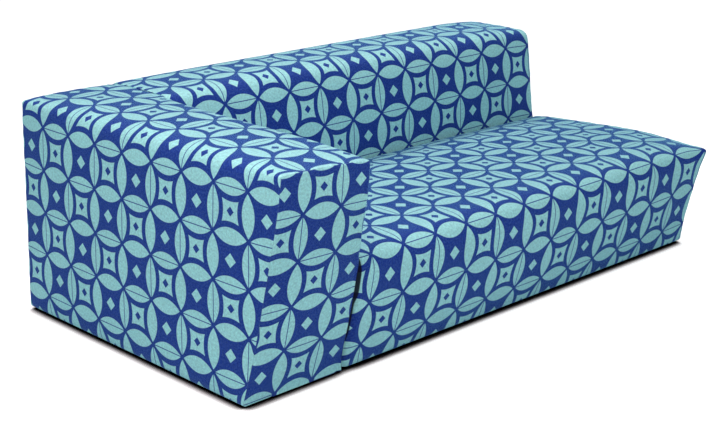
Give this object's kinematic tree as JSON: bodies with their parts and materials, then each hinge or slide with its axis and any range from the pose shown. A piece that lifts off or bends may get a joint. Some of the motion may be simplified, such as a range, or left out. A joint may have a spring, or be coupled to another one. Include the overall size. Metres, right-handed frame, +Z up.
{
  "type": "outdoor sofa",
  "caption": "Low block-shaped outdoor sofa, upholstered down to the floor, with a high arm at the left, an open right end and a back that leans.",
  "frame": {"origin": "on the floor, at the middle of the overall length and of the overall depth", "axes": "+X along the length from the arm to the open end, -Y out of the front, +Z up"},
  "size_m": [2.06, 1.2, 0.69],
  "materials": {
    "printed_canvas": "matte woven canvas with a print in aqua and blue",
    "foam": "soft open-cell foam",
    "firm_foam": "firm open-cell foam",
    "strap": "woven elastic webbing",
    "hook_tape": "hook tape",
    "dust_cloth": "thin non-woven cloth",
    "board": "matte sheet",
    "glide": "matte moulded",
    "frame_aluminium": "mill finish",
    "steel": "stainless"
  },
  "bodies": {
    "root": {"arm_frame": "frame_aluminium", "base_frame": "frame_aluminium", "back_frame": "frame_aluminium", "arm_joint_bolts": "steel", "arm_joint_nuts": "steel", "back_joint_bolts": "steel", "back_joint_nuts": "steel", "seat_straps": "strap", "seat_strap_bars": "frame_aluminium", "seat_strap_screws": "steel", "back_straps": "strap", "back_strap_bars": "frame_aluminium", "back_strap_screws": "steel", "arm_outer_board": "board", "arm_inner_board": "board", "arm_top_board": "board", "arm_front_board": "board", "arm_rear_board": "board", "seat_front_board": "board", "seat_end_board": "board", "back_rear_board": "board", "back_top_board": "board", "back_end_board": "board", "arm_outer_foam": "foam", "arm_inner_foam": "foam", "arm_top_foam": "foam", "arm_front_foam": "foam", "arm_rear_foam": "foam", "seat_core_foam": "firm_foam", "seat_top_foam": "foam", "seat_front_foam": "foam", "seat_end_foam": "foam", "back_front_foam": "foam", "back_top_foam": "foam", "back_rear_foam": "foam", "back_end_foam": "foam", "arm_cover": "printed_canvas", "arm_cover_front": "printed_canvas", "arm_cover_rear": "printed_canvas", "seat_cover": "printed_canvas", "seat_cover_end": "printed_canvas", "seat_cover_inner_end": "printed_canvas", "back_cover": "printed_canvas", "back_cover_end": "printed_canvas", "back_cover_inner_end": "printed_canvas", "arm_hem_tape": "hook_tape", "base_hem_tape": "hook_tape", "arm_dust_cloth": "dust_cloth", "base_dust_cloth": "dust_cloth", "arm_front_glide": "glide", "arm_rear_glide": "glide", "front_left_glide": "glide", "front_middle_glide": "glide", "front_right_glide": "glide", "rear_left_glide": "glide", "rear_middle_glide": "glide", "rear_right_glide": "glide", "glide_screws": "steel"}
  },
  "joints": []
}
